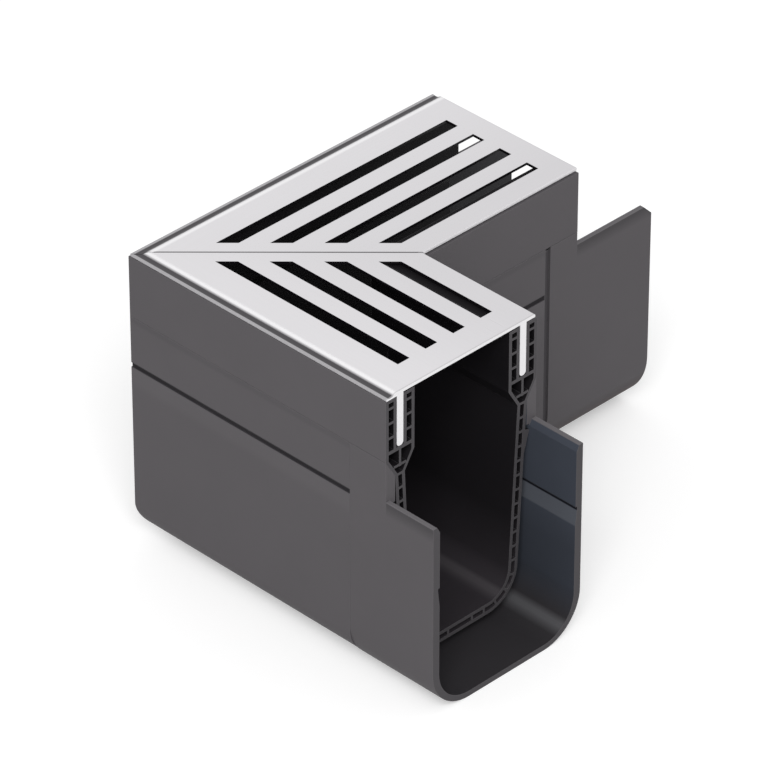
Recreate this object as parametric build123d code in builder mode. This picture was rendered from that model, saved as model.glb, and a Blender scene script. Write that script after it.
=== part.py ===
from build123d import *
from math import ceil, cos, radians, tan
import os

# Legs, measured from the crossing of their centrelines at the walking surface
channel_width = 65.0
near_length = 80.0
far_length = 100.5

# Twin-wall channel profile
fork_width = 12.1
fork_top = 1.5
hub_height = 3.4
shoulder_height = 6.7
skin = 1.15
twin_wall = 4.0
rib = 0.85
rib_pitch = 5.35
wall_lean = 3.0
channel_depth = 103.0
channel_radius = 13.0
barb_drop = 10.7
barb_height = 1.2
barb_taper = 7.5

# Slotted grate
plate_thickness = 1.0
plate_round = 0.3
inner_edge_inset = 0.9
lip_inset = 0.3
lip_depth = 1.4
rim_width = 0.7
rim_drop = 0.75
hollow_width = 2.4
hollow_drop = 0.9
shoulder_width = 1.2
shoulder_drop = 0.35
leg_thickness = 2.7
leg_depth = 20.0
leg_tip_flat = 0.3
slot_count = 4
slot_width = 5.0
slot_pitch = 11.85
slot_offset = 3.1
mitre_margin = 5.2
near_margin = 10.3
far_margin = 8.9
mitre_gap = 0.3

# Corner shell, moulded in one piece round both channels
shell_wall = 2.8
shell_floor = 2.1
shell_radius = 10.8
groove_depth = 41.0
groove_height = 1.7
groove_cut = 0.25

# Push-on sleeves
sleeve_inset = 0.05
sleeve_floor = 2.0
near_sleeve_radius = 16.0
far_sleeve_radius = 21.0
floor_gap = 3.8
near_step = 14.3
far_step = 4.6
near_overlap = 15.5
far_overlap = 12.2
near_reach = 20.2
far_reach = 34.5
seam = 0.05
lap_length = 2.3
lap_step = 0.7
collar_gap = 1.5
lead_in = 1.2
lead_slope = 1.8
rebate_depth = 61.0
rebate_height = 6.8
rebate_cut = 0.7

# Clearances
leg_clearance = 0.2
seat_clearance = 0.3
shoulder_clearance = 0.1
barb_clearance = 0.1

half_width = channel_width / 2
fork_centre = half_width - fork_width / 2
neck_width = fork_centre + twin_wall / 2
shell_inside = half_width - shell_wall
slot_floor = leg_depth + leg_clearance
lean_slope = tan(radians(wall_lean))
fork_knee = slot_floor + hub_height
neck_depth = fork_knee + shoulder_height
barb_depth = neck_depth + barb_drop
shoulder_slope = shoulder_height / (half_width - neck_width)
bevel_top = fork_knee + shoulder_clearance
sleeve_outside = half_width - sleeve_inset

near_plane = Plane.YZ.offset(-half_width)
far_plane = Plane.XZ.offset(half_width)
mitre_plane = Plane(origin=(0, 0, 0), z_dir=(1, -1, 0))


def trough(inset, top):
    """Closed U of the leaning channel wall, moved inwards by inset and cut off level at top."""
    side = neck_width - inset / cos(radians(wall_lean))
    floor = channel_depth - inset
    upper = side + (neck_depth - top) * lean_slope
    lower = side - (floor - neck_depth) * lean_slope
    with BuildSketch() as shape:
        with BuildLine():
            FilletPolyline(
                (-upper, -top),
                (-lower, -floor),
                (lower, -floor),
                (upper, -top),
                radius=channel_radius - inset,
            )
            Line((upper, -top), (-upper, -top))
        make_face()
    return shape.sketch


def rib_stations():
    """Places and angles of the cross ribs along the middle of one wall, from neck to floor centre."""
    middle = twin_wall / 2
    side = neck_width - middle / cos(radians(wall_lean))
    floor = channel_depth - middle
    lower = side - (floor - neck_depth) * lean_slope
    with BuildLine() as path:
        FilletPolyline((side, -neck_depth), (lower, -floor), (0, -floor), radius=channel_radius - middle)
    wire = path.wires()[0]
    count = ceil(wire.length / rib_pitch)
    fractions = [index / count for index in range(count)]
    return [(wire @ t, wire.tangent_angle_at(t)) for t in fractions]


def fork():
    """One wall top: two hollow arms, the slot between them and the braced neck below."""
    half_fork = fork_width / 2
    half_neck = twin_wall / 2
    half_slot = leg_thickness / 2 + leg_clearance
    half_cell = half_neck - skin
    arm_centre = (half_fork + half_slot) / 2
    arm_cell = half_fork - half_slot - 2 * skin
    hub_top = slot_floor + skin
    brace_depth = (hub_top + neck_depth) / 2 + skin
    hub_middle = slot_floor + skin / 2
    arm_ribs = int((hub_middle - fork_top - skin) / rib_pitch)
    with BuildSketch() as shape:
        with BuildLine():
            Polyline(
                (-half_fork, -fork_top),
                (half_fork, -fork_top),
                (half_fork, -fork_knee),
                (half_neck, -neck_depth),
                (-half_neck, -neck_depth),
                (-half_fork, -fork_knee),
                close=True,
            )
        make_face()
        with BuildLine():
            Polyline(
                (-half_fork + skin, -hub_top),
                (half_fork - skin, -hub_top),
                (half_fork - skin, -fork_knee),
                (half_cell, -neck_depth),
                (-half_cell, -neck_depth),
                (-half_fork + skin, -fork_knee),
                close=True,
            )
        make_face(mode=Mode.SUBTRACT)
        with Locations((0, -(fork_top + slot_floor) / 2)):
            Rectangle(2 * half_slot, slot_floor - fork_top, mode=Mode.SUBTRACT)
        with Locations((0, -(fork_top + slot_floor + skin) / 2)):
            with GridLocations(2 * arm_centre, 0, 2, 1):
                Rectangle(arm_cell, slot_floor - fork_top - skin, mode=Mode.SUBTRACT)
        with Locations((0, rib_pitch * (arm_ribs + 1) / 2 - hub_middle)):
            with GridLocations(2 * arm_centre, rib_pitch, 2, arm_ribs):
                Rectangle(arm_cell + skin, rib)
        with Locations((0, -(hub_top + brace_depth) / 2)):
            Rectangle(rib, brace_depth - hub_top + skin)
        with Locations((0, -brace_depth)):
            Rectangle(2 * half_neck + skin, rib)
    return shape.sketch


def channel_section(plane):
    """Hollow-chamber profile of a channel: a fork on each wall, barbs, ribs and a round-cornered floor."""
    fork_shape = fork()
    outer = trough(0, neck_depth)
    cavity = trough(skin, neck_depth)
    lining = trough(twin_wall - skin, neck_depth)
    inside = trough(twin_wall, neck_depth)
    barb_wall = neck_width - (barb_depth - neck_depth) * lean_slope
    taper_end = barb_depth + barb_height + barb_taper
    taper_wall = neck_width - (taper_end - neck_depth) * lean_slope
    barb_tip = shell_inside - barb_clearance
    with BuildSketch() as walls:
        add(outer)
        add(cavity, mode=Mode.SUBTRACT)
        add(lining)
        add(inside, mode=Mode.SUBTRACT)
        for place, angle in rib_stations():
            with Locations(place):
                Rectangle(rib, twin_wall - skin, rotation=angle)
        with BuildLine():
            Polyline(
                (barb_wall - skin, -barb_depth),
                (barb_wall, -barb_depth),
                (barb_tip, -barb_depth - barb_height / 2),
                (barb_tip, -barb_depth - barb_height),
                (taper_wall, -taper_end),
                (taper_wall - skin, -taper_end),
                close=True,
            )
        make_face()
        with Locations((fork_centre, 0)):
            add(fork_shape)
        mirror(about=Plane.YZ)
    with BuildSketch(plane) as section:
        add(walls.sketch)
    return section.sketch


def grate_section(plane):
    """Cover plate with a round shoulder, hollow and rim along its outer edge, and two round-tipped legs."""
    lip_edge = -half_width + lip_inset
    rim_edge = lip_edge + rim_width
    hollow_edge = rim_edge + hollow_width
    flat_edge = hollow_edge + shoulder_width
    inner_edge = half_width - inner_edge_inset
    leg_root = plate_thickness / 2
    with BuildSketch(plane) as section:
        with BuildLine():
            Line((inner_edge, -plate_thickness), (inner_edge, -plate_round))
            RadiusArc((inner_edge, -plate_round), (inner_edge - plate_round, 0), -plate_round)
            Line((inner_edge - plate_round, 0), (flat_edge, 0))
            TangentArc((flat_edge, 0), (hollow_edge, -shoulder_drop), tangent=(-1, 0))
            ThreePointArc(
                (hollow_edge, -shoulder_drop),
                ((hollow_edge + rim_edge) / 2, -hollow_drop),
                (rim_edge, -rim_drop),
            )
            Polyline(
                (rim_edge, -rim_drop),
                (lip_edge, -rim_drop),
                (lip_edge, -lip_depth),
                (-fork_centre, -lip_depth),
                (-fork_centre, -plate_thickness),
                (inner_edge, -plate_thickness),
            )
        make_face()
        with Locations((0, -(leg_depth + leg_root) / 2)):
            with GridLocations(2 * fork_centre, 0, 2, 1):
                Rectangle(leg_thickness, leg_depth - leg_root)
        fillet(section.vertices().group_by(Axis.Y)[0], (leg_thickness - leg_tip_flat) / 2)
    return section.sketch


def slot_sketch():
    """The long slots of one grate, seen from above, running along +X."""
    with BuildSketch() as slots:
        with Locations((0, slot_offset)):
            with GridLocations(0, slot_pitch, 1, slot_count):
                Rectangle(2 * (near_length + channel_width), slot_width)
    return slots.sketch


def u_wall(outside, depth, radius, floor, rim, bevel_width, bevel_drop):
    """Solid U fitting round the channel, its rim bevelled inwards."""
    wall = outside - shell_inside
    with BuildSketch() as shape:
        with BuildLine():
            FilletPolyline((-outside, -rim), (-outside, -depth), (outside, -depth), (outside, -rim), radius=radius)
            Line((outside, -rim), (-outside, -rim))
        make_face()
        with BuildLine():
            FilletPolyline(
                (-shell_inside, -rim),
                (-shell_inside, floor - depth),
                (shell_inside, floor - depth),
                (shell_inside, -rim),
                radius=radius - wall,
            )
            Line((shell_inside, -rim), (-shell_inside, -rim))
        make_face(mode=Mode.SUBTRACT)
        with BuildLine():
            Polyline(
                (shell_inside, -rim),
                (shell_inside + bevel_width, -rim),
                (shell_inside, -rim - bevel_drop),
                close=True,
            )
        bevel = make_face(mode=Mode.SUBTRACT)
        mirror(bevel, about=Plane.YZ, mode=Mode.SUBTRACT)
    return shape.sketch


def shell_section(plane):
    """U of the corner shell, bevelled under the fork's shoulder, with one line groove a side."""
    depth = channel_depth + seat_clearance + shell_floor
    wall = u_wall(half_width, depth, shell_radius, shell_floor, bevel_top, shell_wall, shell_wall * shoulder_slope)
    groove_end = groove_depth + groove_height
    with BuildSketch(plane) as section:
        add(wall)
        with BuildLine():
            Polyline(
                (half_width, -groove_depth),
                (half_width - groove_cut, -groove_depth),
                (half_width - groove_cut, -groove_end + groove_cut),
                (half_width, -groove_end),
                close=True,
            )
        groove = make_face(mode=Mode.SUBTRACT)
        mirror(groove, about=Plane.YZ, mode=Mode.SUBTRACT)
    return section.sketch


def sleeve_section(plane, radius, step, inset=0):
    """U of a sleeve, its rim a step below the fork's shoulder, with a shallow rebate inside each wall."""
    outside = sleeve_outside - inset
    depth = channel_depth + floor_gap + sleeve_floor - inset
    rim = bevel_top + (half_width - outside) * shoulder_slope + step
    if step:
        bevel = lead_in, lead_in * lead_slope
    else:
        bevel = outside - shell_inside, (outside - shell_inside) * shoulder_slope
    wall = u_wall(outside, depth, radius - inset, sleeve_floor - inset, rim, *bevel)
    rebate_end = rebate_depth + rebate_height
    with BuildSketch(plane) as section:
        add(wall)
        with BuildLine():
            Polyline(
                (shell_inside, -rebate_depth),
                (shell_inside + rebate_cut, -rebate_depth),
                (shell_inside + rebate_cut, -rebate_depth - rebate_cut),
                (shell_inside, -rebate_end),
                close=True,
            )
        rebate = make_face(mode=Mode.SUBTRACT)
        mirror(rebate, about=Plane.YZ, mode=Mode.SUBTRACT)
    return section.sketch


def collar_section(plane):
    """Inner collar of the near sleeve: fills the space beside the channel's neck, down to above the barb."""
    neck_face = neck_width + shoulder_clearance
    neck_rim = bevel_top + (half_width - neck_face) * shoulder_slope
    wall_rim = bevel_top + shell_wall * shoulder_slope
    collar_end = barb_depth - collar_gap
    with BuildSketch(plane) as section:
        with BuildLine():
            Polyline(
                (shell_inside, -wall_rim),
                (neck_face, -neck_rim),
                (neck_face, -collar_end),
                (shell_inside, -collar_end),
                close=True,
            )
        collar = make_face()
        mirror(collar, about=Plane.YZ)
    return section.sketch


def save(part, node):
    """Label a finished piece and write it under its node name."""
    part.label = node
    export_step(part, f"parts/{node}.step")


os.makedirs("parts", exist_ok=True)

# Channels, cut to the mitre and meeting face to face
near_channel_section = channel_section(near_plane)
with BuildPart() as near_channel:
    extrude(near_channel_section, amount=half_width + near_length)
    split(bisect_by=mitre_plane, keep=Keep.TOP)
save(near_channel.part, "near_channel")

far_channel_section = channel_section(far_plane)
with BuildPart() as far_channel:
    extrude(far_channel_section, amount=-half_width - far_length)
    split(bisect_by=mitre_plane, keep=Keep.BOTTOM)
save(far_channel.part, "far_channel")

# Corner shell: one U carried round the corner on a square path
shell_near_end = near_length - near_overlap - seam
shell_far_end = far_length - far_overlap - lap_length - seam
shell_start = shell_section(Plane.YZ.offset(shell_near_end))
with BuildPart() as corner_shell:
    with BuildLine() as shell_path:
        Polyline((shell_near_end, 0, 0), (0, 0, 0), (0, shell_far_end, 0))
    sweep(shell_start, path=shell_path.wires()[0], transition=Transition.RIGHT)
save(corner_shell.part, "corner_shell")

# Sleeves on the two open ends: high walls where they grip the channel, lower ones past its end
near_grip_plane = Plane.YZ.offset(near_length - near_overlap)
near_grip_section = sleeve_section(near_grip_plane, near_sleeve_radius, 0)
near_collar_section = collar_section(near_grip_plane)
near_mouth_section = sleeve_section(Plane.YZ.offset(near_length), near_sleeve_radius, near_step)
with BuildPart() as near_sleeve:
    extrude(near_grip_section, amount=near_overlap)
    extrude(near_collar_section, amount=near_overlap)
    extrude(near_mouth_section, amount=near_reach)
save(near_sleeve.part, "near_sleeve")

far_grip_plane = Plane.XZ.offset(far_overlap - far_length)
far_lap_section = sleeve_section(far_grip_plane, far_sleeve_radius, 0, lap_step)
far_grip_section = sleeve_section(far_grip_plane, far_sleeve_radius, 0)
far_mouth_section = sleeve_section(Plane.XZ.offset(-far_length), far_sleeve_radius, far_step)
with BuildPart() as far_sleeve:
    extrude(far_lap_section, amount=lap_length)
    extrude(far_grip_section, amount=-far_overlap)
    extrude(far_mouth_section, amount=-far_reach)
save(far_sleeve.part, "far_sleeve")

# Grates, mitred with a narrow joint, each with its slots stopped short of the mitre and of the end
near_joint = mitre_plane.offset(mitre_gap / 2)
far_joint = mitre_plane.offset(-mitre_gap / 2)
near_slot_stop = mitre_plane.offset(mitre_margin)
far_slot_stop = mitre_plane.offset(-mitre_margin)
slot_row = slot_sketch()

near_grate_section = grate_section(near_plane)
with BuildPart() as near_slots:
    extrude(slot_row, amount=-plate_thickness)
    split(bisect_by=near_slot_stop, keep=Keep.TOP)
    split(bisect_by=Plane.YZ.offset(near_length - near_margin), keep=Keep.BOTTOM)
with BuildPart() as near_grate:
    extrude(near_grate_section, amount=half_width + near_length)
    split(bisect_by=near_joint, keep=Keep.TOP)
    add(near_slots.part, mode=Mode.SUBTRACT)
save(near_grate.part, "near_grate")

far_grate_section = grate_section(far_plane)
with BuildPart() as far_slots:
    with Locations(Location((0, 0, 0), (0, 0, 90))):
        add(extrude(mirror(slot_row, about=Plane.XZ, mode=Mode.PRIVATE), amount=-plate_thickness, mode=Mode.PRIVATE))
    split(bisect_by=far_slot_stop, keep=Keep.BOTTOM)
    split(bisect_by=Plane.XZ.offset(far_margin - far_length), keep=Keep.TOP)
with BuildPart() as far_grate:
    extrude(far_grate_section, amount=-half_width - far_length)
    split(bisect_by=far_joint, keep=Keep.BOTTOM)
    add(far_slots.part, mode=Mode.SUBTRACT)
save(far_grate.part, "far_grate")
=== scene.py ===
from math import cos, radians, sin

import bmesh
import bpy
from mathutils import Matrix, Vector


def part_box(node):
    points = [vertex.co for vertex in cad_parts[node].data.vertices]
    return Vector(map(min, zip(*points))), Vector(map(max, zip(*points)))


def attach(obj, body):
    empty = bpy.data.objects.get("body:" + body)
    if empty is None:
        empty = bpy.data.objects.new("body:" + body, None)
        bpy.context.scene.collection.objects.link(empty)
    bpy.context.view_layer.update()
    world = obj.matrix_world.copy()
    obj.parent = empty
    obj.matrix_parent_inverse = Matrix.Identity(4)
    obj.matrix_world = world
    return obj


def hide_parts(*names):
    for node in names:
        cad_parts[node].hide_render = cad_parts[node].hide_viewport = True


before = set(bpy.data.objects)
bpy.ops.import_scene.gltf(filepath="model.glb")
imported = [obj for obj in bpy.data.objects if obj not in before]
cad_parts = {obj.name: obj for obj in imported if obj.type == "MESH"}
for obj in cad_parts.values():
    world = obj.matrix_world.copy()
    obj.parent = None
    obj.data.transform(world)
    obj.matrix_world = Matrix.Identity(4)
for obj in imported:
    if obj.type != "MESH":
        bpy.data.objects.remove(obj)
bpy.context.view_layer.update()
print("frame loaded:", ", ".join(sorted(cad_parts)))

mm = 0.001
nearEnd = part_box("near_channel")[1][0] / mm  # where each leg is cut off, mm from the corner's middle
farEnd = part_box("far_channel")[1][1] / mm
halfWidth = -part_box("near_channel")[0][1] / mm
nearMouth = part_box("near_sleeve")[1][0] / mm
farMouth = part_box("far_sleeve")[1][1] / mm
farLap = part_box("far_sleeve")[0][1] / mm
floorLevel = min(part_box("near_sleeve")[0][2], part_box("far_sleeve")[0][2])


# Small helpers for node trees

def node(tree, kind, **settings):
    made = tree.nodes.new(kind)
    for key, value in settings.items():
        setattr(made, key, value)
    return made


def put(tree, socket, value):  # a link, a colour or a number into one input
    if isinstance(value, bpy.types.NodeSocket):
        tree.links.new(value, socket)
    elif isinstance(value, tuple) and socket.type == "RGBA":
        socket.default_value = (*value, 1)
    else:
        socket.default_value = value


def maths(tree, operation, first, second=None, clamp=False):
    made = node(tree, "ShaderNodeMath", operation=operation, use_clamp=clamp)
    put(tree, made.inputs[0], first)
    if second is not None:
        put(tree, made.inputs[1], second)
    return made.outputs[0]


def vectorMaths(tree, operation, first, second):
    made = node(tree, "ShaderNodeVectorMath", operation=operation)
    put(tree, made.inputs[0], first)
    put(tree, made.inputs[1], second)
    return made.outputs["Value"] if operation == "DOT_PRODUCT" else made.outputs["Vector"]


def scaled(tree, colour, amount):
    made = node(tree, "ShaderNodeVectorMath", operation="SCALE")
    put(tree, made.inputs[0], colour)
    put(tree, made.inputs["Scale"], amount)
    return made.outputs[0]


def blendNumber(tree, mask, under, over):
    made = node(tree, "ShaderNodeMix", data_type="FLOAT")
    put(tree, made.inputs[0], mask)
    put(tree, made.inputs[2], under)
    put(tree, made.inputs[3], over)
    return made.outputs[0]


def blendColour(tree, mask, under, over):
    made = node(tree, "ShaderNodeMix", data_type="RGBA")
    put(tree, made.inputs[0], mask)
    put(tree, made.inputs[6], under)
    put(tree, made.inputs[7], over)
    return made.outputs[2]


def newGroup(name, inputs, outputs):
    group = bpy.data.node_groups.new(name, "ShaderNodeTree")
    for socketName, value in inputs.items():
        socket = group.interface.new_socket(socketName, in_out="INPUT", socket_type="NodeSocketFloat")
        socket.default_value = value
    for socketName in outputs:
        group.interface.new_socket(socketName, in_out="OUTPUT", socket_type="NodeSocketFloat")
    return group, group.nodes.new("NodeGroupInput").outputs, group.nodes.new("NodeGroupOutput").inputs


def useGroup(tree, group, **values):
    made = node(tree, "ShaderNodeGroup", node_tree=group)
    for key, value in values.items():
        put(tree, made.inputs[key], value)
    return made.outputs


# Shader groups shared by the finishes

def buildLegFrame():  # place on a leg in mm: along it, across it and below the walking face
    group, given, result = newGroup("legFrame", {"Turn": 0}, ["Along", "Across", "Depth"])
    place = node(group, "ShaderNodeTexCoord").outputs["Object"]
    split = node(group, "ShaderNodeSeparateXYZ")
    put(group, split.inputs[0], vectorMaths(group, "MULTIPLY", place, (1 / mm, 1 / mm, -1 / mm)))
    put(group, result["Along"], blendNumber(group, given["Turn"], split.outputs[0], split.outputs[1]))
    put(group, result["Across"], blendNumber(group, given["Turn"], split.outputs[1], split.outputs[0]))
    put(group, result["Depth"], split.outputs[2])
    return group


def buildSoftBand():  # 1 within Half of Centre, falling to 0 over Soft
    inputs = {"Value": 0, "Centre": 0, "Half": 1, "Soft": 0.1}
    group, given, result = newGroup("softBand", inputs, ["Mask"])
    gap = maths(group, "ABSOLUTE", maths(group, "SUBTRACT", given["Value"], given["Centre"]))
    room = maths(group, "SUBTRACT", maths(group, "ADD", given["Half"], given["Soft"]), gap)
    put(group, result["Mask"], maths(group, "DIVIDE", room, given["Soft"], clamp=True))
    return group


def buildFacesIn():  # 1 on the surfaces of a U that look in towards the leg's middle
    inputs = {"Turn": 0, "Across": 0, "Depth": 0, "Middle": 60, "Margin": 2}
    group, given, result = newGroup("facesIn", inputs, ["Mask"])
    normal = node(group, "ShaderNodeSeparateXYZ")
    put(group, normal.inputs[0], node(group, "ShaderNodeNewGeometry").outputs["Normal"])
    side = blendNumber(group, given["Turn"], normal.outputs[1], normal.outputs[0])
    sideways = maths(group, "MULTIPLY", side, given["Across"])
    height = maths(group, "SUBTRACT", given["Middle"], given["Depth"])
    upright = maths(group, "MULTIPLY", normal.outputs[2], height)
    inward = maths(group, "MULTIPLY", maths(group, "ADD", sideways, upright), -1)
    put(group, result["Mask"], maths(group, "GREATER_THAN", inward, given["Margin"]))
    return group


def buildMouldGrain():  # fine pebble of a plastic skin, with broad faint blotches
    group, given, result = newGroup("mouldGrain", {"Size": 1600, "Blotch": 45}, ["Height", "Blotches"])
    place = node(group, "ShaderNodeTexCoord").outputs["Object"]
    fine = node(group, "ShaderNodeTexNoise")
    fine.inputs["Detail"].default_value = 3
    broad = node(group, "ShaderNodeTexNoise")
    broad.inputs["Detail"].default_value = 5
    for texture, size, out in ((fine, "Size", "Height"), (broad, "Blotch", "Blotches")):
        put(group, texture.inputs["Vector"], place)
        put(group, texture.inputs["Scale"], given[size])
        put(group, result[out], texture.outputs[0])
    return group


def buildDrawLines():  # faint lines that run along a drawn profile or a brushed plate
    group, given, result = newGroup("drawLines", {"Turn": 0, "Stretch": 0.02, "Size": 900}, ["Lines"])
    place = node(group, "ShaderNodeSeparateXYZ")
    put(group, place.inputs[0], node(group, "ShaderNodeTexCoord").outputs["Object"])
    along = blendNumber(group, given["Turn"], place.outputs[0], place.outputs[1])
    across = blendNumber(group, given["Turn"], place.outputs[1], place.outputs[0])
    gathered = node(group, "ShaderNodeCombineXYZ")
    put(group, gathered.inputs[0], maths(group, "MULTIPLY", along, given["Stretch"]))
    put(group, gathered.inputs[1], across)
    put(group, gathered.inputs[2], place.outputs[2])
    texture = node(group, "ShaderNodeTexNoise")
    texture.inputs["Detail"].default_value = 4
    put(group, texture.inputs["Vector"], gathered.outputs[0])
    put(group, texture.inputs["Scale"], given["Size"])
    put(group, result["Lines"], texture.outputs[0])
    return group


def buildEdgeWear():  # 1 along rubbed edges, broken up by noise; the lighter tone it brings is partly wear and partly painted edge highlight
    group, given, result = newGroup("edgeWear", {"Radius": 0.4, "Gain": 6, "Breakup": 260}, ["Wear"])
    rounded = node(group, "ShaderNodeBevel", samples=6)
    put(group, rounded.inputs["Radius"], maths(group, "MULTIPLY", given["Radius"], mm))
    flat = node(group, "ShaderNodeNewGeometry").outputs["Normal"]
    bend = maths(group, "SUBTRACT", 1, vectorMaths(group, "DOT_PRODUCT", rounded.outputs[0], flat))
    noise = node(group, "ShaderNodeTexNoise")
    put(group, noise.inputs["Vector"], node(group, "ShaderNodeTexCoord").outputs["Object"])
    put(group, noise.inputs["Scale"], given["Breakup"])
    rubbed = maths(group, "MULTIPLY", maths(group, "MULTIPLY", bend, given["Gain"]), noise.outputs[0])
    put(group, result["Wear"], maths(group, "MINIMUM", rubbed, 1))
    return group


print("shader groups")
legFrame = buildLegFrame()
softBand = buildSoftBand()
facesIn = buildFacesIn()
mouldGrain = buildMouldGrain()
drawLines = buildDrawLines()
edgeWear = buildEdgeWear()


def band(tree, value, low, high, soft):  # mask of a stretch from low to high, fading over soft
    centre = (low + high) / 2
    return useGroup(tree, softBand, Value=value, Centre=centre, Half=(high - low) / 2, Soft=soft)["Mask"]


def portion(tree, mask, amount):
    return maths(tree, "MULTIPLY", mask, amount)


def newMaterial(name):
    material = bpy.data.materials.new(name)
    material.use_nodes = True
    return material, material.node_tree, material.node_tree.nodes["Principled BSDF"]


cutSkin = 0.03  # mm behind a cut end that still shows the cut

# In the finishes, every name that ends in At is a band in mm: from, to and how softly it fades

plasticLook = {
    "wall": (0.1000, 0.0935, 0.0998),
    # a lighter tone, partly rubbed wear and partly painted highlight; it is also the painted highlight band
    # below the shell's groove
    "worn": (0.170, 0.162, 0.170),
    "roughness": 0.60,
    "specular": 0.12,
    "grain": 0.06,
    "drawn": 0.04,
    "bumpDepth": 0.1,  # mm
    "blotches": 0.16,
    "roughnessSpread": 0.12,
    "rubbed": 0.5,
    "rubbedGloss": 0.1,
    "wearRadius": 0.35,
    "lineStretch": 0.015,
    "lineSize": 1400,
}


def finishPlastic(tree, shader, colour, turn):  # grain, blotches, lines and lighter rubbed edges (partly wear, partly painted edge highlight) on any colour
    grain = useGroup(tree, mouldGrain)
    lines = useGroup(
        tree, drawLines, Turn=turn, Stretch=plasticLook["lineStretch"], Size=plasticLook["lineSize"]
    )["Lines"]
    wear = useGroup(tree, edgeWear, Radius=plasticLook["wearRadius"])["Wear"]
    shade = portion(tree, grain["Blotches"], plasticLook["blotches"])
    shade = maths(tree, "ADD", shade, 1 - plasticLook["blotches"] / 2)
    colour = scaled(tree, colour, shade)
    # painted edge highlight mixed with real wear: rubbed edges take the lighter tone
    colour = blendColour(tree, portion(tree, wear, plasticLook["rubbed"]), colour, plasticLook["worn"])
    put(tree, shader.inputs["Base Color"], colour)
    rough = portion(tree, grain["Blotches"], plasticLook["roughnessSpread"])
    rough = maths(tree, "ADD", rough, plasticLook["roughness"] - plasticLook["roughnessSpread"] / 2)
    rough = maths(tree, "SUBTRACT", rough, portion(tree, wear, plasticLook["rubbedGloss"]))
    put(tree, shader.inputs["Roughness"], rough)
    shader.inputs["Specular IOR Level"].default_value = plasticLook["specular"]
    pebble = node(tree, "ShaderNodeBump")
    pebble.inputs["Strength"].default_value = plasticLook["grain"]
    pebble.inputs["Distance"].default_value = plasticLook["bumpDepth"] * mm
    put(tree, pebble.inputs["Height"], grain["Height"])
    drawn = node(tree, "ShaderNodeBump")
    drawn.inputs["Strength"].default_value = plasticLook["drawn"]
    drawn.inputs["Distance"].default_value = plasticLook["bumpDepth"] * mm
    put(tree, drawn.inputs["Height"], lines)
    put(tree, drawn.inputs["Normal"], pebble.outputs[0])
    put(tree, shader.inputs["Normal"], drawn.outputs[0])


channelLook = {
    "cutEnd": (0.0700, 0.0660, 0.0710),
    # painted shade: the channel's inside is far darker than its outer walls, darkest just under the grate
    # and a little lighter towards the floor
    "underGrate": (0.0085, 0.0076, 0.0090),
    "inside": (0.0125, 0.0112, 0.0130),
    "insideLow": (0.0330, 0.0290, 0.0335),
    # painted highlight along the far side's inner bottom corner
    "insideCorner": (0.0700, 0.0640, 0.0700),
    "underGrateAt": (0, 18, 14),
    "insideLowAt": (93, 120, 22),
    "insideCornerAt": (97.2, 98.0, 0.9),
    "cornerAmount": 0.7,
    "outerSkin": 0.05,  # mm in from the outer face
    "topSkin": 1.7,  # mm down the fork's top, and how far out that starts
    "topSkinFrom": 27,
}


def makeChannelPlastic(name, turn, legEnd):
    material, tree, shader = newMaterial(name)
    place = useGroup(tree, legFrame, Turn=turn)
    across, depth = place["Across"], place["Depth"]
    offMiddle = maths(tree, "ABSOLUTE", across)
    highUp = maths(tree, "LESS_THAN", depth, channelLook["topSkin"])
    farOut = maths(tree, "GREATER_THAN", offMiddle, channelLook["topSkinFrom"])
    outerTop = maths(tree, "MULTIPLY", highUp, farOut)
    outerFace = maths(tree, "GREATER_THAN", offMiddle, halfWidth - channelLook["outerSkin"])
    skin = maths(tree, "MAXIMUM", outerFace, outerTop)
    cutEnd = maths(tree, "GREATER_THAN", place["Along"], legEnd - cutSkin)
    underGrate = band(tree, depth, *channelLook["underGrateAt"])
    low = band(tree, depth, *channelLook["insideLowAt"])
    # painted highlight, only on the far side
    corner = band(tree, depth, *channelLook["insideCornerAt"])
    corner = maths(tree, "MULTIPLY", corner, maths(tree, "GREATER_THAN", across, 0))
    corner = portion(tree, corner, channelLook["cornerAmount"])
    # painted shade over the whole inside of the channel
    waterway = blendColour(tree, underGrate, channelLook["inside"], channelLook["underGrate"])
    waterway = blendColour(tree, low, waterway, channelLook["insideLow"])
    waterway = blendColour(tree, corner, waterway, channelLook["insideCorner"])
    colour = blendColour(tree, skin, waterway, plasticLook["wall"])
    colour = blendColour(tree, cutEnd, colour, channelLook["cutEnd"])
    finishPlastic(tree, shader, colour, turn)
    return material


shellLook = {
    # painted shadow in the shallow groove round the shell
    "groove": (0.0120, 0.0105, 0.0130),
    # painted shade along the faint line where the fork's knee turns down
    "joint": (0.0800, 0.0750, 0.0805),
    "grooveAt": (41.0, 42.5, 0.35),
    "jointAt": (23.8, 25.2, 1.2),
    # painted highlight: a lighter band below the groove, where its lower face would catch the light
    "belowAt": (43.4, 47.4, 3),
    "jointAmount": 0.5,
    "belowAmount": 0.12,
}


def makeShellPlastic(name):
    material, tree, shader = newMaterial(name)
    depth = useGroup(tree, legFrame, Turn=0)["Depth"]
    below = portion(tree, band(tree, depth, *shellLook["belowAt"]), shellLook["belowAmount"])
    joint = portion(tree, band(tree, depth, *shellLook["jointAt"]), shellLook["jointAmount"])
    # painted highlight below the groove
    colour = blendColour(tree, below, plasticLook["wall"], plasticLook["worn"])
    # painted shade along the knee line
    colour = blendColour(tree, joint, colour, shellLook["joint"])
    # painted shadow in the groove
    colour = blendColour(tree, band(tree, depth, *shellLook["grooveAt"]), colour, shellLook["groove"])
    finishPlastic(tree, shader, colour, 0)
    return material


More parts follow.
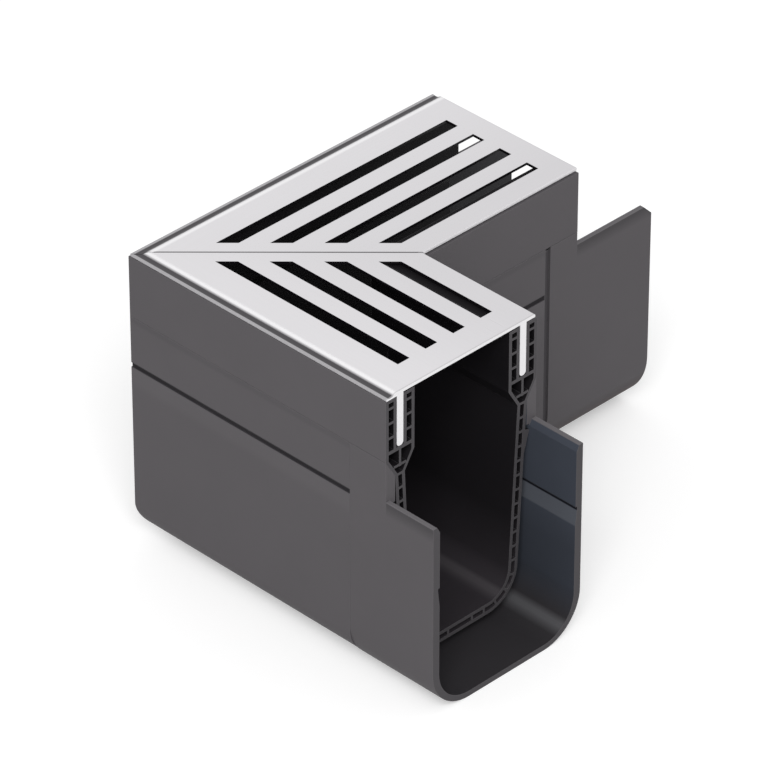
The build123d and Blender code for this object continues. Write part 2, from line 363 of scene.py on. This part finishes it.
sleeveLook = {
    "farSide": (0.0580, 0.0660, 0.0850),  # painted light and a bluish painted reflection on the inner wall that the open end's light falls on
    "farSideLow": (0.0470, 0.0530, 0.0680),
    # painted shade on the inner wall away from the open end
    "nearSide": (0.0400, 0.0395, 0.0430),
    # painted shade on the sleeve's inner floor
    "floor": (0.0300, 0.0280, 0.0310),
    # painted highlight on the rebate's sloped face on the inner wall
    "rebate": (0.0980, 0.1060, 0.1250),
    # painted shadow line under the ledge above the rebate
    "line": (0.0100, 0.0105, 0.0150),
    # painted highlight along the inner bottom corner on the far side
    "corner": (0.1250, 0.1250, 0.1330),
    # painted shade on the strip where the far sleeve laps over the shell
    "lap": (0.0620, 0.0580, 0.0630),
    # painted light on the upward-facing top edge of the sleeve walls
    "rim": (0.1400, 0.1330, 0.1410),
    # painted shade just under the rim, fading down the outer wall
    "underRim": (0.0660, 0.0620, 0.0665),
    # painted reddish reflection and darker shade low on the far sleeve's outer wall, broken up by noise
    "warm": (0.0480, 0.0340, 0.0345),
    "lineAt": (61.0, 62.2, 0.3),
    "rebateAt": (62.6, 67.8, 0.6),
    "lowAt": (78, 120, 12),
    "floorAt": (102, 120, 10),
    "cornerAt": (103.5, 104.3, 1.6),
    "warmAt": (102.5, 130, 9),
    "nearRebate": 0.25,  # how much of the rebate's painted highlight the inner wall with darker painted shade takes
    "cornerAmount": 0.6,
    "innerMiddle": 55,  # mm down, the point that the inner faces look at
    "pastLeg": 0.1,
    "rimSkin": 0.12,
    "underRimDepth": 1,
    "underRimSoft": 4,
    "cloudSize": 38,
    "cloudLift": 0.6,
}

nearSleevePlace = {
    "turn": 0,
    "legEnd": nearEnd,
    "mouth": nearMouth,
    "rimDepth": 38.2,
    "lapEnd": 0,  # this sleeve has no lap
    "warm": 0,
}

farSleevePlace = {
    "turn": 1,
    "legEnd": farEnd,
    "mouth": farMouth,
    "rimDepth": 28.5,
    "lapEnd": farLap + 2.28,  # how far the sleeve laps over the shell
    "warm": 0.9,
}


def makeSleevePlastic(name, turn, legEnd, mouth, rimDepth, lapEnd, warm):
    material, tree, shader = newMaterial(name)
    place = useGroup(tree, legFrame, Turn=turn)
    along, across, depth = place["Along"], place["Across"], place["Depth"]
    middle = sleeveLook["innerMiddle"]
    inside = useGroup(tree, facesIn, Turn=turn, Across=across, Depth=depth, Middle=middle)["Mask"]
    farSide = maths(tree, "GREATER_THAN", across, 0)
    # painted highlight, only on the far side
    corner = maths(tree, "MULTIPLY", band(tree, depth, *sleeveLook["cornerAt"]), farSide)
    corner = portion(tree, corner, sleeveLook["cornerAmount"])
    # painted light and shade: the inner walls are darker copies of the plastic, the far one lit and bluish
    upper = blendColour(tree, farSide, sleeveLook["nearSide"], sleeveLook["farSide"])
    lower = blendColour(tree, farSide, sleeveLook["nearSide"], sleeveLook["farSideLow"])
    rebateAmount = blendNumber(tree, farSide, sleeveLook["nearRebate"], 1)
    # painted highlight on the rebate
    rebate = portion(tree, band(tree, depth, *sleeveLook["rebateAt"]), rebateAmount)
    walls = blendColour(tree, band(tree, depth, *sleeveLook["lowAt"]), upper, lower)
    walls = blendColour(tree, rebate, walls, sleeveLook["rebate"])
    # painted shadow line under the ledge
    walls = blendColour(tree, band(tree, depth, *sleeveLook["lineAt"]), walls, sleeveLook["line"])
    walls = blendColour(tree, band(tree, depth, *sleeveLook["floorAt"]), walls, sleeveLook["floor"])
    walls = blendColour(tree, corner, walls, sleeveLook["corner"])
    pastLeg = maths(tree, "GREATER_THAN", along, legEnd + sleeveLook["pastLeg"])
    rimFoot = rimDepth + sleeveLook["underRimDepth"]
    # painted shade under the rim
    underRim = band(tree, depth, rimDepth, rimFoot, sleeveLook["underRimSoft"])
    underRim = maths(tree, "MULTIPLY", underRim, pastLeg)
    # painted light on the top edge
    rim = maths(tree, "LESS_THAN", depth, rimDepth + sleeveLook["rimSkin"])
    rim = maths(tree, "MULTIPLY", rim, pastLeg)
    outer = blendColour(tree, underRim, plasticLook["wall"], sleeveLook["underRim"])
    # painted shade on the lap
    outer = blendColour(tree, maths(tree, "LESS_THAN", along, lapEnd), outer, sleeveLook["lap"])
    cloud = node(tree, "ShaderNodeTexNoise")
    put(tree, cloud.inputs["Vector"], node(tree, "ShaderNodeTexCoord").outputs["Object"])
    cloud.inputs["Scale"].default_value = sleeveLook["cloudSize"]
    clouds = maths(tree, "ADD", cloud.outputs[0], sleeveLook["cloudLift"])
    # painted reddish reflection and shade towards the bottom
    tint = maths(tree, "MULTIPLY", band(tree, depth, *sleeveLook["warmAt"]), clouds)
    outer = blendColour(tree, maths(tree, "MULTIPLY", tint, warm, clamp=True), outer, sleeveLook["warm"])
    colour = blendColour(tree, inside, outer, walls)
    colour = blendColour(tree, rim, colour, sleeveLook["rim"])
    cutEnd = maths(tree, "GREATER_THAN", along, mouth - cutSkin)
    colour = blendColour(tree, cutEnd, colour, channelLook["cutEnd"])
    finishPlastic(tree, shader, colour, turn)
    return material


metalLook = {
    "plate": (0.808, 0.793, 0.814),
    "plateInner": (0.738, 0.724, 0.744),  # painted shade: the plate darkens a little towards the corner's inner side, as less light falls there
    "end": (0.870, 0.860, 0.875),
    # painted dark reflection and shade in the hollow of the outer lip
    "hollow": (0.075, 0.071, 0.076),
    "rim": (0.440, 0.430, 0.445),
    # painted shade on the walls of the slots
    "slotWall": (0.0060, 0.0052, 0.0065),
    # painted shade line along the top just before the cut end
    "edgeLine": (0.560, 0.550, 0.565),
    "mitre": (0.330, 0.322, 0.335),
    "metallic": 0.20,
    "roughness": 0.30,
    "specular": 0.2,
    "brushed": 0.05,
    "brushDepth": 0.05,  # mm
    "brushStretch": 0.01,
    "brushSize": 2200,
    "roughnessSpread": 0.12,
    "streaks": 0.05,
    "streakBase": 0.955,
    "clouds": 0.04,
    "cloudSize": 18,
    "rimAt": (-32.3, -31.6, 0.25),
    "plateAt": (-27, 30.5, 0.1),
    "innerAt": (27, 60, 50),
    "mitreAt": (-0.3, 0.35, 0.2),
    "edgeLineAt": (-0.45, -0.15, 0.2),  # a painted shade line on the top, just before the cut end
    "steep": 0.3,  # a face whose normal rises less than this is a slot's wall
    "endMargin": 4,  # mm before the cut end, where the slots have ended
    "plateDepth": 1.05,
}

nearGratePlace = {
    "turn": 0,
    "legEnd": nearEnd,
    "hollowAt": (-31.1, -29.6, 0.7),
    # painted highlight along the lip's rounded shoulder
    "shoulderAt": (-28.5, -28.2, 0.9),
    "shoulder": (0.940, 0.930, 0.945),
    "lineAmount": 0.6,
}

farGratePlace = {
    "turn": 1,
    "legEnd": farEnd,
    "hollowAt": (-31.1, -28.9, 0.7),
    "shoulderAt": (-27.6, -27.3, 0.9),
    "shoulder": (0.980, 0.972, 0.984),
    "lineAmount": 0.1,
}


def makeGrateMetal(name, turn, legEnd, hollowAt, shoulderAt, shoulder, lineAmount):
    material, tree, shader = newMaterial(name)
    place = useGroup(tree, legFrame, Turn=turn)
    along, across, depth = place["Along"], place["Across"], place["Depth"]
    normal = node(tree, "ShaderNodeSeparateXYZ")
    put(tree, normal.inputs[0], node(tree, "ShaderNodeNewGeometry").outputs["Normal"])
    slotWall = maths(tree, "LESS_THAN", maths(tree, "ABSOLUTE", normal.outputs[2]), metalLook["steep"])
    for within in (
        band(tree, across, *metalLook["plateAt"]),
        maths(tree, "LESS_THAN", along, legEnd - metalLook["endMargin"]),
        maths(tree, "LESS_THAN", depth, metalLook["plateDepth"]),
    ):
        slotWall = maths(tree, "MULTIPLY", slotWall, within)
    hollow = band(tree, across, *hollowAt)
    cutEnd = maths(tree, "GREATER_THAN", along, legEnd - cutSkin)
    fromEnd = maths(tree, "SUBTRACT", along, legEnd)
    edgeLine = portion(tree, band(tree, fromEnd, *metalLook["edgeLineAt"]), lineAmount)
    mitre = band(tree, maths(tree, "SUBTRACT", along, across), *metalLook["mitreAt"])
    # painted shade towards the corner's inner side
    inner = band(tree, across, *metalLook["innerAt"])
    colour = blendColour(tree, inner, metalLook["plate"], metalLook["plateInner"])
    colour = blendColour(tree, mitre, colour, metalLook["mitre"])
    # painted highlight on the shoulder
    colour = blendColour(tree, band(tree, across, *shoulderAt), colour, shoulder)
    # painted dark reflection and shade in the lip's hollow
    colour = blendColour(tree, hollow, colour, metalLook["hollow"])
    colour = blendColour(tree, band(tree, across, *metalLook["rimAt"]), colour, metalLook["rim"])
    # painted shade line before the cut end
    colour = blendColour(tree, edgeLine, colour, metalLook["edgeLine"])
    colour = blendColour(tree, cutEnd, colour, metalLook["end"])
    # painted shade on the slot walls
    colour = blendColour(tree, slotWall, colour, metalLook["slotWall"])
    brushed = useGroup(
        tree, drawLines, Turn=turn, Stretch=metalLook["brushStretch"], Size=metalLook["brushSize"]
    )["Lines"]
    cloudy = useGroup(tree, mouldGrain, Blotch=metalLook["cloudSize"])["Blotches"]
    streaks = maths(tree, "ADD", portion(tree, brushed, metalLook["streaks"]), metalLook["streakBase"])
    clouds = maths(tree, "ADD", portion(tree, cloudy, metalLook["clouds"]), 1 - metalLook["clouds"] / 2)
    put(tree, shader.inputs["Base Color"], scaled(tree, colour, maths(tree, "MULTIPLY", streaks, clouds)))
    dull = maths(tree, "MAXIMUM", maths(tree, "MAXIMUM", slotWall, hollow), cutEnd)
    put(tree, shader.inputs["Metallic"], blendNumber(tree, dull, metalLook["metallic"], 0))
    shader.inputs["Specular IOR Level"].default_value = metalLook["specular"]
    rough = portion(tree, brushed, metalLook["roughnessSpread"])
    rough = maths(tree, "ADD", rough, metalLook["roughness"] - metalLook["roughnessSpread"] / 2)
    put(tree, shader.inputs["Roughness"], rough)
    bump = node(tree, "ShaderNodeBump")
    bump.inputs["Strength"].default_value = metalLook["brushed"]
    bump.inputs["Distance"].default_value = metalLook["brushDepth"] * mm
    put(tree, bump.inputs["Height"], brushed)
    put(tree, shader.inputs["Normal"], bump.outputs[0])
    return material


print("materials")
finishes = {
    "near_channel": makeChannelPlastic("drawnPlasticNear", 0, nearEnd),
    "far_channel": makeChannelPlastic("drawnPlasticFar", 1, farEnd),
    "corner_shell": makeShellPlastic("shellPlastic"),
    "near_sleeve": makeSleevePlastic("sleevePlasticNear", **nearSleevePlace),
    "far_sleeve": makeSleevePlastic("sleevePlasticFar", **farSleevePlace),
    "near_grate": makeGrateMetal("satinAluminiumNear", **nearGratePlace),
    "far_grate": makeGrateMetal("satinAluminiumFar", **farGratePlace),
}
for name, material in finishes.items():
    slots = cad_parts[name].data.materials
    slots.clear()
    slots.append(material)


sleeveTips = {
    "cut": 3.7,  # mm taken off the top corner of each wall at the mouth
    "rim": 28.4,
    "weld": 0.001,  # mm
    "sharpAngle": 30,
}


def cutSleeveTips():  # the far sleeve again, with the sloping corners that its wall tips have
    shape = bmesh.new()
    shape.from_mesh(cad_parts["far_sleeve"].data)
    bmesh.ops.remove_doubles(shape, verts=shape.verts[:], dist=sleeveTips["weld"] * mm)
    corner = Vector((0, farMouth - sleeveTips["cut"], -sleeveTips["rim"])) * mm
    everything = shape.verts[:] + shape.edges[:] + shape.faces[:]
    slope = Vector((0, 1, 1)).normalized()
    bmesh.ops.bisect_plane(shape, geom=everything, plane_co=corner, plane_no=slope, clear_outer=True)
    openEdges = [edge for edge in shape.edges if edge.is_boundary]
    bmesh.ops.holes_fill(shape, edges=openEdges)
    bmesh.ops.recalc_face_normals(shape, faces=shape.faces[:])
    mesh = bpy.data.meshes.new("farSleeveBody")
    shape.to_mesh(mesh)
    shape.free()
    if "custom_normal" in mesh.attributes:
        mesh.attributes.remove(mesh.attributes["custom_normal"])
    mesh.shade_smooth()
    mesh.set_sharp_from_angle(angle=radians(sleeveTips["sharpAngle"]))
    mesh.materials.append(finishes["far_sleeve"])
    piece = bpy.data.objects.new("farSleeveBody", mesh)
    bpy.context.scene.collection.objects.link(piece)
    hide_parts("far_sleeve")
    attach(piece, "root")
    print("sleeve tips cut:", len(mesh.polygons), "faces")


cutSleeveTips()


# Stage

floorLook = {
    "size": 8.0,
    "drop": 0.1,  # mm under the lowest foot
    "colour": (0.72, 0.72, 0.72),
    "lift": 0.40,  # added only where the camera, metal or glass sees the floor
}

lightLook = {
    "sky": 0.64,
    "frontPower": 32.0,
    "frontSize": 1.1,
    "frontFrom": (1.25, -1.2, 1.65),
}

cameraLook = {
    "azimuth": 45.11,  # degrees round the corner, as the photo looks at it
    "elevation": 34.39,
    "distance": 2000 * mm,
    "focalLength": 300.2,
    "sensor": 36,
    "farClip": 50,
    "aim": (24.6, 21.9, -47.9),  # mm, what sits in the middle of the picture
}


def seenRays(tree):  # camera, glossy and transmission rays
    rays = node(tree, "ShaderNodeLightPath").outputs
    seen = maths(tree, "MAXIMUM", rays["Is Camera Ray"], rays["Is Glossy Ray"])
    return maths(tree, "MAXIMUM", seen, rays["Is Transmission Ray"])


def makeFloor():
    half = floorLook["size"] / 2
    mesh = bpy.data.meshes.new("studioFloor")
    corners = [(-half, -half, 0), (half, -half, 0), (half, half, 0), (-half, half, 0)]
    mesh.from_pydata(corners, [], [(0, 1, 2, 3)])
    floor = bpy.data.objects.new("studioFloor", mesh)
    floor.location.z = floorLevel - floorLook["drop"] * mm
    bpy.context.scene.collection.objects.link(floor)
    material, tree, shader = newMaterial("studioFloor")
    shader.inputs["Base Color"].default_value = (*floorLook["colour"], 1)
    shader.inputs["Roughness"].default_value = 1
    shader.inputs["Specular IOR Level"].default_value = 0
    shader.inputs["Emission Color"].default_value = (1, 1, 1, 1)
    put(tree, shader.inputs["Emission Strength"], maths(tree, "MULTIPLY", seenRays(tree), floorLook["lift"]))
    mesh.materials.append(material)


def makeLamp(name, power, size, spot, aim):
    data = bpy.data.lights.new(name, "AREA")
    data.energy = power
    data.size = size
    lamp = bpy.data.objects.new(name, data)
    lamp.location = spot
    lamp.rotation_euler = (Vector(aim) - Vector(spot)).to_track_quat("-Z", "Y").to_euler()
    bpy.context.scene.collection.objects.link(lamp)


def makeSky():
    world = bpy.data.worlds.new("studioSky")
    bpy.context.scene.world = world
    world.use_nodes = True
    sky = world.node_tree.nodes["Background"]
    sky.inputs["Color"].default_value = (1, 1, 1, 1)
    sky.inputs["Strength"].default_value = lightLook["sky"]


def makeCamera(aim):
    turn = radians(cameraLook["azimuth"])
    tilt = radians(cameraLook["elevation"])
    back = Vector((sin(turn) * cos(tilt), -cos(turn) * cos(tilt), sin(tilt)))
    data = bpy.data.cameras.new("photoView")
    data.lens = cameraLook["focalLength"]
    data.sensor_width = cameraLook["sensor"]
    data.clip_end = cameraLook["farClip"]
    viewer = bpy.data.objects.new("photoView", data)
    viewer.location = Vector(aim) + back * cameraLook["distance"]
    viewer.rotation_euler = back.to_track_quat("Z", "Y").to_euler()
    bpy.context.scene.collection.objects.link(viewer)
    bpy.context.scene.camera = viewer


print("stage, lamps and camera")
aimPoint = [value * mm for value in cameraLook["aim"]]
makeFloor()
makeSky()
makeLamp("frontLamp", lightLook["frontPower"], lightLook["frontSize"], lightLook["frontFrom"], aimPoint)
makeCamera(aimPoint)
bpy.context.scene.view_settings.view_transform = "Standard"

print("finished")
